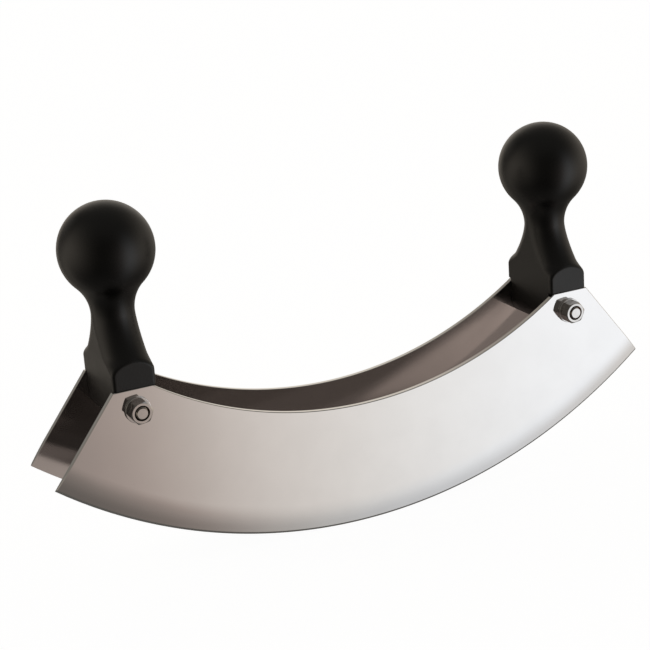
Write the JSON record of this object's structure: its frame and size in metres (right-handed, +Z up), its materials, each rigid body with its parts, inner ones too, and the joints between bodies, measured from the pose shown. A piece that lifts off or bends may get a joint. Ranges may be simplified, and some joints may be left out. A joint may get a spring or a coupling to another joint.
{
  "type": "mezzaluna",
  "caption": "Rocking kitchen chopper with parallel curved steel blades, ground on their outer faces, bolted to ball-topped black handles that hold them apart.",
  "frame": {"origin": "on the surface that both cutting edges stand on, midway between the handles and midway between the blades", "axes": "+Z up, towards the balls; +X along the blades, towards the right handle seen from the front; the nuts face the front, -Y"},
  "size_m": [0.256, 0.0426, 0.1437],
  "materials": {
    "blade_steel": "fine satin polish",
    "handle_plastic": "satin black, moulded",
    "fastener_steel": "bright machined stainless",
    "washer_steel": "stamped stainless"
  },
  "bodies": {
    "root": {"front_blade": "blade_steel", "rear_blade": "blade_steel", "left_handle": "handle_plastic", "right_handle": "handle_plastic", "left_bolt": "fastener_steel", "left_nut": "fastener_steel", "left_front_washer": "washer_steel", "left_rear_washer": "washer_steel", "right_bolt": "fastener_steel", "right_nut": "fastener_steel", "right_front_washer": "washer_steel", "right_rear_washer": "washer_steel"}
  },
  "joints": []
}
